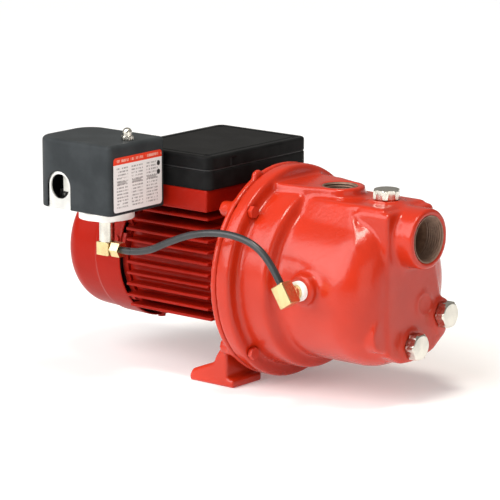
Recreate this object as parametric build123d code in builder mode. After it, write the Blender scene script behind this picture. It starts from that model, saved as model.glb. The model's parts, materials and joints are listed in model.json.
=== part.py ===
from build123d import *
import os
from math import cos, pi, radians, sin, sqrt, tan

# Shallow well jet pump with its motor, terminal box and pressure switch.
# +X runs along the shaft from the fan to the suction port, +Z is up, and the
# origin is on the floor, midway between the bolt holes of the two feet.

os.makedirs("parts", exist_ok=True)

# ---------------------------------------------------------------- driving sizes
# shaft line and joint faces
shaft_height = 101.7
joint_x = 46.0            # face where the casing meets the motor bracket
frame_front_x = 15.0      # front end of the motor frame
frame_length = 107.0

# clearances
seat_gap = 0.01           # pressed or glued seats
slide_gap = 0.05          # running fits
free_gap = 0.3            # pieces that only lie near each other

# casing
rim_radius = 96.7
casing_rim = 15.0         # thickness of the casing's flange
bracket_rim = 6.0         # thickness of the bracket's flange
chamber_radius = 84.0     # outside of the impeller chamber
chamber_length = 30.0
barrel_radius = 72.0      # outside of the bell
cast_wall = 6.0
dome_radius = 35.0        # rounding where the bell closes at the nose
nose_face_x = 188.0
nose_depth = 34.0
bolt_ring = 90.5          # radius of the ring of casing bolts
casing_bolt = 3.0
casing_bolt_hex = 10.0

# ports
suction_height = 150.2
suction_face_x = 208.3
suction_boss = 27.0
suction_thread = 20.4
discharge_x = 109.5
discharge_height = 186.5
discharge_boss = 22.5
discharge_thread = 15.2
port_thread_length = 20.0
priming_x = 161.0
spine_height = 178.0
spine_slope = 36.0        # degrees that the spine's sides lean out

# small plugs
plug_hex = 22.0
plug_thread = 8.2
plug_head = 9.0
drain_y, drain_z = 2.0, 52.0
gauge_y, gauge_z = 45.6, 73.0

# feet
foot_inner, foot_outer = 20.0, 61.5
foot_back_x, foot_front_x = -14.0, 37.0
foot_pad = 8.5
foot_hole = 4.75

# motor
frame_bore = 50.0
frame_wall = 5.0
fin_pitch = 10.3
fin_count = 10
fin_low = 43.0            # the lowest fin lies this far under the shaft
fin_thickness = 3.0
fin_tip = 64.0
rod_ring = 58.0
rod_radius = 2.5
stator_bore = 30.0
air_gap = 0.4
stator_length = 60.0
winding_length = 16.0
bearing_bore = 7.5
bearing_outer = 17.5
bearing_width = 11.0
ball_count = 8
shaft_body = 10.0
shaft_nose = 7.0

# fan and its cover
cover_rim_radius = 64.3
cover_length = 76.0
cover_skin = 1.5
cover_overlap = 4.0       # the cover's rim lies this far over the end shield
fan_radius = 50.0

# impeller
impeller_radius = 62.0
impeller_x = 60.0
eye_radius = 20.5

# terminal box
box_half_width = 70.0
box_rear_x, box_front_x = -88.0, 17.0
saddle_height = 20.0
box_floor_z = 179.0
box_base_height = 17.5
box_lid_height = 13.2
box_wall = 3.0
conduit_radius = 8.6
conduit_x, conduit_z = -60.0, 194.5

# pressure switch
switch_rear_x, switch_front_x = -122.5, -30.5
switch_x = -68.0          # line of its pressure port
switch_width = 73.8
switch_gap = 4.4          # between the cover and the terminal box
switch_floor_z = 161.3
switch_height = 63.0
switch_skin = 1.6
knockout_radius = 11.1
nipple_radius = 6.85
nipple_length = 20.5
tube_diameter = 6.5

# ---------------------------------------------------------------- worked out
flange_front_x = joint_x + casing_rim
chamber_front_x = flange_front_x + chamber_length
frame_rear_x = frame_front_x - frame_length
frame_radius = frame_bore + frame_wall
nose_rear_x = nose_face_x - nose_depth
shield_x = frame_rear_x
rear_bearing_x = shield_x - 12.0
front_bearing_x = frame_front_x - 7.0
box_top_z = box_floor_z + box_base_height + box_lid_height
switch_y1 = -box_half_width - switch_gap
switch_y0 = switch_y1 - switch_width
switch_y = (switch_y0 + switch_y1) / 2
switch_top_z = switch_floor_z + switch_height

# the four tie rods run in gaps between the fins
rod_rises = [fin_pitch * row - fin_low for row in (0.5, 7.5)]
rod_places = [(side * sqrt(rod_ring**2 - rise**2), rise) for rise in rod_rises for side in (-1, 1)]
foot_y = (foot_inner + foot_outer) / 2

shaft_axis = Axis((0, 0, shaft_height), (1, 0, 0))
section = Plane(origin=(0, 0, shaft_height), x_dir=(1, 0, 0), z_dir=(0, -1, 0))
ON_END = (Align.CENTER, Align.CENTER, Align.MIN)


def across(x, y=0.0, z=shaft_height):
    """A plane that faces +X, with its own x along +Y and its own y along +Z."""
    return Plane(origin=(x, y, z), x_dir=(0, 1, 0), z_dir=(1, 0, 0))


def beside(y, x=0.0, z=0.0):
    """A plane that faces -Y, with its own x along +X and its own y along +Z."""
    return Plane(origin=(x, y, z), x_dir=(1, 0, 0), z_dir=(0, -1, 0))


def outward(x, angle, radius):
    """A plane that faces away from the shaft, at an angle from +Y and a radius."""
    out_y, out_z = cos(radians(angle)), sin(radians(angle))
    return Plane(
        origin=(x, radius * out_y, shaft_height + radius * out_z),
        x_dir=(1, 0, 0),
        z_dir=(0, out_y, out_z),
    )


def level(z, x=0.0, y=0.0):
    """A plane that faces up."""
    return Plane(origin=(x, y, z), x_dir=(1, 0, 0), z_dir=(0, 0, 1))


def turned(*profile, mode=Mode.ADD):
    """Turn a closed outline of (x, radius) points about the shaft."""
    with BuildSketch(section) as outline:
        with BuildLine():
            Polyline(*profile, close=True)
        make_face()
    revolve(outline.sketch, axis=shaft_axis, mode=mode)


def rod(plane, radius, length, mode=Mode.ADD):
    """Add or cut a round bar that starts on a plane and runs along its normal."""
    with Locations(plane):
        Cylinder(radius, length, align=ON_END, mode=mode)


def block(x0, x1, y0, y1, z0, z1, mode=Mode.ADD):
    """Add or cut a box between two corners."""
    with Locations(((x0 + x1) / 2, (y0 + y1) / 2, (z0 + z1) / 2)):
        Box(x1 - x0, y1 - y0, z1 - z0, mode=mode)


def hex_bar(plane, flats, length, mode=Mode.ADD):
    """Add or cut a hexagonal bar, its size across flats."""
    with BuildSketch(plane) as outline:
        RegularPolygon(flats / 2, 6, major_radius=False)
    extrude(outline.sketch, amount=length, mode=mode)


# ================================================================ pump casing
# Cast iron: a flange, the impeller chamber, a bell that closes in a dome, a flat
# nose that holds the suction boss, and a spine on top that holds the discharge
# boss and the priming plug.  The nozzle and venturi sit in walls cast inside.
suction_chamber_x0, suction_chamber_x1 = 151.0, 167.0
nozzle_wall = 6.0
venturi_seat_x = 144.0
venturi_seat = 14.0
nozzle_bore = 8.0
pressure_x1 = 182.0
port_x, port_z = 128.0, 107.0
port_boss = 14.0
port_thread = 6.6
port_face_y = -80.0
diffuser_front_x = 85.0
casing_ring_radius = 82.0
casing_ring_wire = 1.3
casing_ring_squeeze = 0.2
casing_ring_groove = 2 * casing_ring_wire - casing_ring_squeeze + seat_gap

with BuildPart() as pump_casing:
    # turned outside: flange, chamber, bell and dome
    with BuildSketch(section):
        with BuildLine():
            Line((joint_x, 0), (joint_x, rim_radius))
            FilletPolyline(
                (joint_x, rim_radius),
                (flange_front_x, rim_radius),
                (flange_front_x, chamber_radius),
                (chamber_front_x, chamber_radius),
                (chamber_front_x + 4, barrel_radius),
                (nose_face_x - 1, barrel_radius),
                (nose_face_x - 1, 0),
                radius=[3, 1.2, 5, 4, dome_radius],
            )
            Line((nose_face_x - 1, 0), (joint_x, 0))
        make_face()
    revolve(axis=shaft_axis)
    # the flat nose
    with BuildSketch(Plane.YZ.offset(nose_rear_x)) as nose_outline:
        with BuildLine():
            Polyline(
                (-34, spine_height - 3),
                (-34, 80),
                (-30, 47),
                (-10, 37),
                (14, 36),
                (36, 41),
                (56, 54),
                (58, 72),
                (47, 88),
                (39, 115),
                (34, spine_height - 3),
                close=True,
            )
        make_face()
        fillet(nose_outline.vertices(), radius=5)
    extrude(amount=nose_depth)
    fillet(pump_casing.faces().sort_by(Axis.X)[-1].edges(), radius=2.5)
    # round boss beside the nose, low on the near side
    rod(across(nose_rear_x, -33, 68), 17, nose_depth - 2)
    # spine from the chamber to the nose, its sides leaning out to the bell
    with BuildSketch(Plane(origin=(0, 0, spine_height), x_dir=(1, 0, 0), z_dir=(0, 0, -1))):
        with BuildLine():
            Polyline(
                (chamber_front_x - 6, -27),
                (discharge_x, -29),
                (nose_rear_x - 8, -30),
                (nose_rear_x - 8, 30),
                (discharge_x, 29),
                (chamber_front_x - 6, 27),
                close=True,
            )
        make_face()
    extrude(amount=spine_height - shaft_height - 44, taper=-spine_slope)
    block(discharge_x, nose_face_x - 8, -30, 30, shaft_height + 40, spine_height)
    # wedge from the flange to the discharge boss
    with BuildSketch(Plane.XY.offset(shaft_height + 40)):
        with BuildLine():
            Polyline(
                (flange_front_x - 4, -33),
                (discharge_x - 18, -29),
                (discharge_x, -discharge_boss),
                (discharge_x, discharge_boss),
                (discharge_x - 18, 29),
                (flange_front_x - 4, 33),
                close=True,
            )
        make_face()
    extrude(amount=discharge_height - shaft_height - 40)
    rod(level(shaft_height + 40, discharge_x), discharge_boss, discharge_height - shaft_height - 40)
    # suction boss, gauge boss, drain boss, switch port boss
    rod(across(nose_rear_x, 0, suction_height), suction_boss, suction_face_x - nose_rear_x)
    rod(across(nose_rear_x, gauge_y, gauge_z), 14.5, nose_depth + 2)
    rod(across(nose_rear_x, drain_y, drain_z), 14.5, nose_depth + 2)
    rod(level(spine_height - 6, priming_x), 15, 8)
    rod(beside(-50, port_x, port_z), port_boss, -50 - port_face_y)
    # inside: the chamber, then the bell
    with BuildSketch(section):
        with BuildLine():
            Polyline(
                (joint_x, 0),
                (joint_x, chamber_radius - cast_wall),
                (diffuser_front_x, chamber_radius - cast_wall),
                (diffuser_front_x, barrel_radius - cast_wall),
            )
            FilletPolyline(
                (diffuser_front_x, barrel_radius - cast_wall),
                (nose_face_x - 1 - cast_wall, barrel_radius - cast_wall),
                (nose_face_x - 1 - cast_wall, 0),
                radius=dome_radius - cast_wall,
            )
            Line((nose_face_x - 1 - cast_wall, 0), (joint_x, 0))
        make_face()
    revolve(axis=shaft_axis, mode=Mode.SUBTRACT)
    # walls inside that hold the venturi and the nozzle
    block(venturi_seat_x, nose_face_x - 3, -20, 20, shaft_height - 20, spine_height - 8)
    # suction way: port, chamber, venturi seat
    rod(across(suction_chamber_x0, 0, suction_height), suction_thread - 2, suction_face_x, Mode.SUBTRACT)
    rod(
        across(suction_face_x - port_thread_length, 0, suction_height),
        suction_thread,
        port_thread_length,
        Mode.SUBTRACT,
    )
    block(
        suction_chamber_x0,
        suction_chamber_x1,
        -14,
        14,
        shaft_height - 13,
        suction_height,
        Mode.SUBTRACT,
    )
    rod(across(venturi_seat_x - 1), venturi_seat, suction_chamber_x0 - venturi_seat_x + 2, Mode.SUBTRACT)
    # nozzle seat and the pressure way behind it
    rod(across(suction_chamber_x1 - 1), nozzle_bore, nozzle_wall + 2, Mode.SUBTRACT)
    block(
        suction_chamber_x1 + nozzle_wall,
        pressure_x1,
        -9,
        9,
        shaft_height - 30,
        shaft_height + 11,
        Mode.SUBTRACT,
    )
    # discharge way
    rod(
        level(discharge_height - port_thread_length, discharge_x),
        discharge_thread,
        port_thread_length,
        Mode.SUBTRACT,
    )
    rod(level(shaft_height + 50, discharge_x), discharge_thread - 2, 60, Mode.SUBTRACT)
    # plug holes
    rod(level(suction_height, priming_x), plug_thread, 60, Mode.SUBTRACT)
    for plug_y, plug_z in ((drain_y, drain_z), (gauge_y, gauge_z)):
        rod(across(nose_face_x - 32, plug_y, plug_z), plug_thread, 60, Mode.SUBTRACT)
    rod(beside(port_face_y + 24, port_x, port_z), port_thread, 30, Mode.SUBTRACT)
    # holes for the casing bolts, and the groove for the joint ring
    with Locations(across(joint_x - 1)):
        with PolarLocations(bolt_ring, 4, start_angle=45):
            Cylinder(casing_bolt + 0.3, casing_rim + 2, align=ON_END, mode=Mode.SUBTRACT)
    turned(
        (joint_x - 1, casing_ring_radius - 1.6),
        (joint_x + casing_ring_groove, casing_ring_radius - 1.6),
        (joint_x + casing_ring_groove, casing_ring_radius + 1.6),
        (joint_x - 1, casing_ring_radius + 1.6),
        mode=Mode.SUBTRACT,
    )
    # low hexagon cast on the nose
    with BuildSketch(across(nose_face_x - 1, 20, 86)):
        RegularPolygon(12, 6, rotation=90)
        RegularPolygon(9.5, 6, rotation=90, mode=Mode.SUBTRACT)
    extrude(amount=2)
pump_casing.part.label = "pump_casing"
export_step(pump_casing.part, "parts/pump_casing.step")

# ================================================================ motor bracket
# Cast iron, with the front bearing seat, the seal seat, the casing's counter
# flange and the two feet in one piece.
spigot_length = 10.0
spigot_wall = 4.0
seal_bore = 16.0
seal_bore_x = 38.0
shaft_hole = 9.5
slinger_x0, slinger_x1 = 23.0, 34.0
hub_wall = 6.0
rod_boss = 6.0
bolt_boss = 7.5
bolt_reach = 15.0         # thread length in the bracket
foot_wall_x = 29.5        # the foot's front wall stands this far back from its lip
rim_rear_x = joint_x - bracket_rim
front_bearing_end = front_bearing_x + bearing_width

with BuildPart() as motor_bracket:
    turned(
        (front_bearing_x, bearing_outer + hub_wall),
        (front_bearing_x, bearing_outer + seat_gap),
        (front_bearing_end, bearing_outer + seat_gap),
        (front_bearing_end, bearing_outer - 4),
        (slinger_x0, bearing_outer - 4),
        (slinger_x0, bearing_outer + 4),
        (slinger_x1, bearing_outer + 4),
        (slinger_x1, shaft_hole),
        (seal_bore_x, shaft_hole),
        (seal_bore_x, seal_bore),
        (joint_x, seal_bore),
        (joint_x, rim_radius),
        (rim_rear_x, rim_radius),
        (rim_rear_x, rim_radius - 13),
        (frame_front_x + 14, frame_radius + 12),
        (frame_front_x, frame_radius + 3),
        (frame_front_x, frame_bore - slide_gap),
        (frame_front_x - spigot_length, frame_bore - slide_gap),
        (frame_front_x - spigot_length, frame_bore - spigot_wall),
        (frame_front_x, frame_bore - spigot_wall),
        (frame_front_x + 12, frame_radius + 5),
        (rim_rear_x, rim_radius - 22),
        (rim_rear_x, bearing_outer + 11),
        (front_bearing_end, bearing_outer + hub_wall),
    )
    # bosses that take the tie rods
    for rod_y, rise in rod_places:
        rod(across(frame_front_x, rod_y, shaft_height + rise), rod_boss, 16)
    for rod_y, rise in rod_places:
        rod(across(frame_front_x, rod_y, shaft_height + rise), rod_radius + seat_gap, 14, Mode.SUBTRACT)
    # bosses that take the casing bolts
    with Locations(across(joint_x - bolt_reach - 3)):
        with PolarLocations(bolt_ring - 2, 4, start_angle=45):
            Cylinder(bolt_boss, bolt_reach + 3, align=ON_END)
    # small tab on top of the rim
    tab_turn = radians(111)
    with BuildSketch(across(rim_rear_x)):
        with Locations((rim_radius * cos(tab_turn), rim_radius * sin(tab_turn))):
            Rectangle(10, 8, rotation=21)
    extrude(amount=bracket_rim)
    # drain slot under the slinger
    block(slinger_x0 + 2, slinger_x1 - 2, -7, 7, shaft_height - 76, shaft_height - 12, Mode.SUBTRACT)
    # feet: a sloped block on each side, with a low lip in front of its wall
    for far in (-foot_inner, foot_outer):
        with BuildSketch(beside(far)):
            with BuildLine():
                Polyline(
                    (foot_back_x, 0),
                    (foot_back_x - 1.5, 4),
                    (foot_back_x + 2.5, 11),
                    (13.5, 21),
                    (16, 27),
                    (27.6, 44),
                    (rim_rear_x + 1, 66),
                    (rim_rear_x + 1, 52),
                    (foot_wall_x, 43),
                    (foot_wall_x, foot_pad),
                    (foot_front_x, foot_pad - 1),
                    (foot_front_x, 0),
                    close=True,
                )
            make_face()
        extrude(amount=foot_outer - foot_inner)
    with Locations(across(joint_x - bolt_reach)):
        with PolarLocations(bolt_ring, 4, start_angle=45):
            Cylinder(casing_bolt + seat_gap, bolt_reach, align=ON_END, mode=Mode.SUBTRACT)
    for side in (-1, 1):
        rod(level(foot_pad, 0, side * foot_y), 9, 12, Mode.SUBTRACT)
        rod(level(-1, 0, side * foot_y), foot_hole, foot_pad + 2, Mode.SUBTRACT)
motor_bracket.part.label = "motor_bracket"
export_step(motor_bracket.part, "parts/motor_bracket.step")

# ---------------------------------------------------------------- casing bolts
with BuildPart() as casing_bolts:
    with Locations(across(joint_x - bolt_reach + 1)):
        with PolarLocations(bolt_ring, 4, start_angle=45):
            Cylinder(casing_bolt, casing_rim + bolt_reach, align=ON_END)
    with BuildSketch(across(flange_front_x)):
        with PolarLocations(bolt_ring, 4, start_angle=45):
            RegularPolygon(casing_bolt_hex / 2, 6, major_radius=False, rotation=30)
    extrude(amount=4.2)
casing_bolts.part.label = "casing_bolts"
export_step(casing_bolts.part, "parts/casing_bolts.step")

# ---------------------------------------------------------------- joint ring
# Rubber ring in the casing's groove, against the bracket.
with BuildPart() as casing_ring:
    with Locations(across(joint_x + casing_ring_wire - casing_ring_squeeze)):
        Torus(casing_ring_radius, casing_ring_wire)
    turned(
        (joint_x - 5, 0),
        (joint_x, 0),
        (joint_x, rim_radius),
        (joint_x - 5, rim_radius),
        mode=Mode.SUBTRACT,
    )
casing_ring.part.label = "casing_ring"
export_step(casing_ring.part, "parts/casing_ring.step")

# ================================================================ hydraulics
# ---------------------------------------------------------------- impeller
impeller_hub = 12.0
impeller_rear = 2.5
vane_height = 7.0
front_shroud = 2.5
hub_length = 14.0
vane_front_x = impeller_x + impeller_rear + vane_height
eye_front_x = vane_front_x + front_shroud + 5
vane_count = 6

with BuildPart() as impeller:
    turned(
        (impeller_x, 0),
        (impeller_x, impeller_radius),
        (impeller_x + impeller_rear, impeller_radius),
        (impeller_x + impeller_rear, impeller_hub),
        (impeller_x + hub_length, impeller_hub),
        (impeller_x + hub_length, 0),
    )
    turned(
        (vane_front_x, eye_radius - 2.5),
        (vane_front_x, impeller_radius),
        (vane_front_x + front_shroud, impeller_radius),
        (vane_front_x + front_shroud, eye_radius),
        (eye_front_x, eye_radius),
        (eye_front_x, eye_radius - 2.5),
    )
    for vane in range(vane_count):
        turn = 2 * pi * vane / vane_count
        with BuildSketch(across(impeller_x + impeller_rear - 0.5)):
            with BuildLine():
                ThreePointArc(
                    (19 * cos(turn), 19 * sin(turn)),
                    (42 * cos(turn + 0.42), 42 * sin(turn + 0.42)),
                    (60 * cos(turn + 1.15), 60 * sin(turn + 1.15)),
                )
            trace(line_width=2.2)
        extrude(amount=vane_height + 1)
    rod(across(impeller_x - 1), shaft_nose + seat_gap, hub_length + 2, Mode.SUBTRACT)
impeller.part.label = "impeller"
export_step(impeller.part, "parts/impeller.step")

# ---------------------------------------------------------------- impeller nut
shaft_thread = 5.0
impeller_nut_length = 8.0
with BuildPart() as impeller_nut:
    hex_bar(across(impeller_x + hub_length), 16, impeller_nut_length)
    rod(across(impeller_x + hub_length), shaft_thread + seat_gap, impeller_nut_length, Mode.SUBTRACT)
    chamfer(impeller_nut.faces().sort_by(Axis.X)[-1].edges().filter_by(GeomType.LINE), length=0.8)
impeller_nut.part.label = "impeller_nut"
export_step(impeller_nut.part, "parts/impeller_nut.step")

# ---------------------------------------------------------------- diffuser
# Moulded disc in front of the impeller: a rim clamped in the chamber, a wear
# ring round the impeller's eye, and a neck that takes the venturi.
diffuser_disc_x = vane_front_x + front_shroud + 1.5
diffuser_disc = 4.0
neck_bore = 17.0
neck_wall = 3.0
neck_front_x = diffuser_front_x + 8
water_ways = 8
diffuser_radius = chamber_radius - cast_wall - slide_gap

with BuildPart() as diffuser:
    turned(
        (joint_x + 0.2, diffuser_radius),
        (diffuser_front_x, diffuser_radius),
        (diffuser_front_x, diffuser_radius - 4),
        (diffuser_disc_x + diffuser_disc, diffuser_radius - 4),
        (diffuser_disc_x + diffuser_disc, eye_radius + 4),
        (diffuser_front_x - 2, neck_bore + neck_wall),
        (neck_front_x, neck_bore + neck_wall),
        (neck_front_x, neck_bore),
        (eye_front_x + 1, neck_bore),
        (eye_front_x + 1, eye_radius + free_gap),
        (diffuser_disc_x, eye_radius + free_gap),
        (diffuser_disc_x, diffuser_radius - 4),
        (joint_x + 0.2, diffuser_radius - 4),
    )
    with Locations(across(diffuser_disc_x - 1)):
        with PolarLocations(diffuser_radius - 9.5, water_ways):
            Box(9, 22, 20, mode=Mode.SUBTRACT)
diffuser.part.label = "diffuser"
export_step(diffuser.part, "parts/diffuser.step")

# ---------------------------------------------------------------- venturi tube
# Brass tube from the suction chamber to the impeller's eye.
venturi_end_x = suction_chamber_x0 - 0.5
throat_radius = 5.5
venturi_rear_x = eye_front_x + 4
with BuildPart() as venturi_tube:
    turned(
        (venturi_rear_x, neck_bore - slide_gap),
        (neck_front_x + 2, neck_bore - slide_gap),
        (neck_front_x + 12, 13),
        (venturi_seat_x - 20, 9.5),
        (venturi_seat_x - 4, 9.5),
        (venturi_seat_x - 1, venturi_seat - slide_gap),
        (venturi_end_x, venturi_seat - slide_gap),
        (venturi_end_x, throat_radius + 5),
        (venturi_end_x - 10, throat_radius),
        (venturi_end_x - 20, throat_radius),
        (venturi_rear_x, neck_bore - 3),
    )
    turned(
        (venturi_seat_x + 2.4, venturi_seat - 2.2),
        (venturi_seat_x + 5.0, venturi_seat - 2.2),
        (venturi_seat_x + 5.0, venturi_seat + 1),
        (venturi_seat_x + 2.4, venturi_seat + 1),
        mode=Mode.SUBTRACT,
    )
venturi_tube.part.label = "venturi_tube"
export_step(venturi_tube.part, "parts/venturi_tube.step")

with BuildPart() as venturi_ring:
    with Locations(across(venturi_seat_x + 3.7)):
        Torus(venturi_seat - 1.1, 1.05)
venturi_ring.part.label = "venturi_ring"
export_step(venturi_ring.part, "parts/venturi_ring.step")

# ---------------------------------------------------------------- nozzle
nozzle_rear_x = suction_chamber_x1 + nozzle_wall
with BuildPart() as nozzle:
    turned(
        (nozzle_rear_x, nozzle_bore - seat_gap),
        (suction_chamber_x1, nozzle_bore - seat_gap),
        (suction_chamber_x1, nozzle_bore + 2),
        (suction_chamber_x1 - 3, nozzle_bore + 2),
        (suction_chamber_x1 - 3, nozzle_bore - 1),
        (venturi_end_x + 3, 4.8),
        (venturi_end_x + 3, 3.2),
        (nozzle_rear_x, 6),
    )
nozzle.part.label = "nozzle"
export_step(nozzle.part, "parts/nozzle.step")

# ---------------------------------------------------------------- shaft seal
seat_face_x = joint_x + 0.6
seal_head_x = seat_face_x + 0.05
seal_head_end = seal_head_x + 7
with BuildPart() as seal_cup:
    turned(
        (seal_bore_x, 12),
        (seal_bore_x, seal_bore - seat_gap),
        (joint_x - 0.5, seal_bore - seat_gap),
        (joint_x - 0.5, 13.2),
        (seal_bore_x + 1.5, 13.2),
        (seal_bore_x + 1.5, 12),
    )
seal_cup.part.label = "seal_cup"
export_step(seal_cup.part, "parts/seal_cup.step")

with BuildPart() as seal_seat:
    turned(
        (seal_bore_x + 1.5 + seat_gap, 8.4),
        (seal_bore_x + 1.5 + seat_gap, 13.2 - seat_gap),
        (seat_face_x, 13.2 - seat_gap),
        (seat_face_x, 8.4),
    )
seal_seat.part.label = "seal_seat"
export_step(seal_seat.part, "parts/seal_seat.step")

with BuildPart() as seal_head:
    turned(
        (seal_head_x, 9),
        (seal_head_x, 12),
        (seal_head_x + 3, 12),
        (seal_head_x + 3, 12.8),
        (seal_head_end, 12.8),
        (seal_head_end, shaft_nose + seat_gap),
        (seal_head_x + 3, shaft_nose + seat_gap),
        (seal_head_x + 3, 9),
    )
seal_head.part.label = "seal_head"
export_step(seal_head.part, "parts/seal_head.step")

seal_wire = 0.8
with BuildPart() as seal_spring:
    with BuildLine() as seal_coil:
        Helix(
            pitch=2.2,
            height=impeller_x - seal_head_end - 2 * seal_wire - 0.1,
            radius=10.5,
            center=(seal_head_end + seal_wire + 0.05, 0, shaft_height),
            direction=(1, 0, 0),
        )
    with BuildSketch(Plane(origin=seal_coil.line @ 0, z_dir=seal_coil.line % 0)):
        Circle(seal_wire)
    sweep(path=seal_coil.line, is_frenet=True)
seal_spring.part.label = "seal_spring"
export_step(seal_spring.part, "parts/seal_spring.step")

# ================================================================ motor frame
# Die-cast aluminium barrel with level fins down both sides and a saddle on top.
fin_rear_x, fin_front_x = frame_rear_x + 4, frame_front_x - 5
saddle_rear_x, saddle_front_x = box_rear_x, frame_front_x - 1
saddle_z = box_floor_z - saddle_height
saddle_wall = 7.0

with BuildPart() as motor_frame:
    rod(across(frame_rear_x), frame_radius, frame_length)
    for row in range(fin_count):
        rise = row * fin_pitch - fin_low
        root = sqrt(frame_radius**2 - rise**2) - 3
        reach = fin_tip - (5 if row == 0 else 0)
        fin_z = shaft_height + rise
        for side in (-1, 1):
            near, far = sorted((side * root, side * reach))
            block(
                fin_rear_x,
                fin_front_x,
                near,
                far,
                fin_z - fin_thickness / 2,
                fin_z + fin_thickness / 2,
            )
    # saddle under the terminal box, on a neck that grows from the barrel
    block(
        saddle_rear_x,
        saddle_front_x,
        -box_half_width,
        box_half_width,
        saddle_z,
        box_floor_z,
    )
    block(saddle_rear_x + 6, saddle_front_x - 6, -27, 27, shaft_height + 40, saddle_z + 3)
    block(
        saddle_rear_x + saddle_wall,
        saddle_front_x - saddle_wall,
        -box_half_width + saddle_wall,
        box_half_width - saddle_wall,
        saddle_z + 5,
        box_floor_z,
        Mode.SUBTRACT,
    )
    rod(across(frame_rear_x), frame_bore, frame_length, Mode.SUBTRACT)
    # way for the leads
    block(-8, 4, -12, 12, shaft_height + 40, saddle_z + 6, Mode.SUBTRACT)
motor_frame.part.label = "motor_frame"
export_step(motor_frame.part, "parts/motor_frame.step")

# ---------------------------------------------------------------- stator
slot_count = 24
slot_ring = 37.5
slot_radius = 3.6
stator_x0 = -76.0
stator_x1 = stator_x0 + stator_length
with BuildPart() as stator_core:
    rod(across(stator_x0), frame_bore - seat_gap, stator_length)
    rod(across(stator_x0), stator_bore, stator_length, Mode.SUBTRACT)
    with Locations(across(stator_x0)):
        with PolarLocations(slot_ring, slot_count):
            Cylinder(slot_radius, stator_length, align=ON_END, mode=Mode.SUBTRACT)
stator_core.part.label = "stator_core"
export_step(stator_core.part, "parts/stator_core.step")

with BuildPart() as stator_windings:
    for start in (stator_x0 - winding_length, stator_x1):
        turned(
            (start, stator_bore + 3),
            (start + 4, stator_bore + 1.5),
            (start + winding_length - 4, stator_bore + 1.5),
            (start + winding_length, stator_bore + 3),
            (start + winding_length, frame_bore - spigot_wall - 2.5),
            (start + winding_length - 4, frame_bore - spigot_wall - 1),
            (start + 4, frame_bore - spigot_wall - 1),
            (start, frame_bore - spigot_wall - 2.5),
        )
    with Locations(across(stator_x0 - 2)):
        with PolarLocations(slot_ring, slot_count):
            Cylinder(slot_radius - seat_gap, stator_length + 4, align=ON_END)
stator_windings.part.label = "stator_windings"
export_step(stator_windings.part, "parts/stator_windings.step")

# ---------------------------------------------------------------- rotor
with BuildPart() as rotor_core:
    turned(
        (stator_x0 - 7, 19),
        (stator_x0 - 7, stator_bore - 3),
        (stator_x0, stator_bore - 3),
        (stator_x0, stator_bore - air_gap),
        (stator_x1, stator_bore - air_gap),
        (stator_x1, stator_bore - 3),
        (stator_x1 + 7, stator_bore - 3),
        (stator_x1 + 7, 19),
        (stator_x1, 19),
        (stator_x1, shaft_body + seat_gap),
        (stator_x0, shaft_body + seat_gap),
        (stator_x0, 19),
    )
rotor_core.part.label = "rotor_core"
export_step(rotor_core.part, "parts/rotor_core.step")

# ---------------------------------------------------------------- shaft
fan_seat = 6.0
fan_seat_length = 26.0
shaft_end_x = impeller_x + hub_length + impeller_nut_length + 2
rear_seat_end = rear_bearing_x + bearing_width
with BuildPart() as shaft:
    turned(
        (rear_bearing_x - 8 - fan_seat_length, 0),
        (rear_bearing_x - 8 - fan_seat_length, fan_seat - 1),
        (rear_bearing_x - 7 - fan_seat_length, fan_seat),
        (rear_bearing_x - 8, fan_seat),
        (rear_bearing_x - 8, bearing_bore),
        (rear_seat_end, bearing_bore),
        (rear_seat_end, shaft_body),
        (front_bearing_x, shaft_body),
        (front_bearing_x, bearing_bore),
        (slinger_x1, bearing_bore),
        (slinger_x1, shaft_nose),
        (impeller_x + hub_length, shaft_nose),
        (impeller_x + hub_length, shaft_thread),
        (shaft_end_x, shaft_thread),
        (shaft_end_x, 0),
    )
shaft.part.label = "shaft"
export_step(shaft.part, "parts/shaft.step")

# ---------------------------------------------------------------- bearings
ball_ring = (bearing_bore + bearing_outer) / 2
ball_radius = 0.3 * (bearing_outer - bearing_bore)
race_wall = 3.0
groove = ball_radius + slide_gap
bearing_starts = (front_bearing_x, rear_bearing_x)
bearing_middles = [start + bearing_width / 2 for start in bearing_starts]

with BuildPart() as outer_races:
    for start in bearing_starts:
        turned(
            (start, bearing_outer - race_wall),
            (start, bearing_outer),
            (start + bearing_width, bearing_outer),
            (start + bearing_width, bearing_outer - race_wall),
        )
    for middle in bearing_middles:
        with Locations(across(middle)):
            Torus(ball_ring, groove, mode=Mode.SUBTRACT)
outer_races.part.label = "outer_races"
export_step(outer_races.part, "parts/outer_races.step")

with BuildPart() as inner_races:
    for start in bearing_starts:
        turned(
            (start, bearing_bore + seat_gap),
            (start, bearing_bore + race_wall),
            (start + bearing_width, bearing_bore + race_wall),
            (start + bearing_width, bearing_bore + seat_gap),
        )
    for middle in bearing_middles:
        with Locations(across(middle)):
            Torus(ball_ring, groove, mode=Mode.SUBTRACT)
inner_races.part.label = "inner_races"
export_step(inner_races.part, "parts/inner_races.step")

with BuildPart() as ball_cages:
    for middle in bearing_middles:
        turned(
            (middle - 1, ball_ring - 1),
            (middle - 1, ball_ring + 1),
            (middle + 1, ball_ring + 1),
            (middle + 1, ball_ring - 1),
        )
        with Locations(across(middle)):
            with PolarLocations(ball_ring, ball_count):
                Sphere(ball_radius)
ball_cages.part.label = "ball_cages"
export_step(ball_cages.part, "parts/ball_cages.step")

# ---------------------------------------------------------------- slinger
with BuildPart() as slinger:
    turned(
        (slinger_x0 + 1, bearing_bore + seat_gap),
        (slinger_x0 + 1, bearing_bore + 4),
        (slinger_x0 + 3, bearing_outer),
        (slinger_x0 + 4.5, bearing_outer),
        (slinger_x0 + 5, bearing_bore + 4),
        (slinger_x0 + 8, bearing_bore + 3),
        (slinger_x0 + 8, bearing_bore + seat_gap),
    )
slinger.part.label = "slinger"
export_step(slinger.part, "parts/slinger.step")

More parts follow.
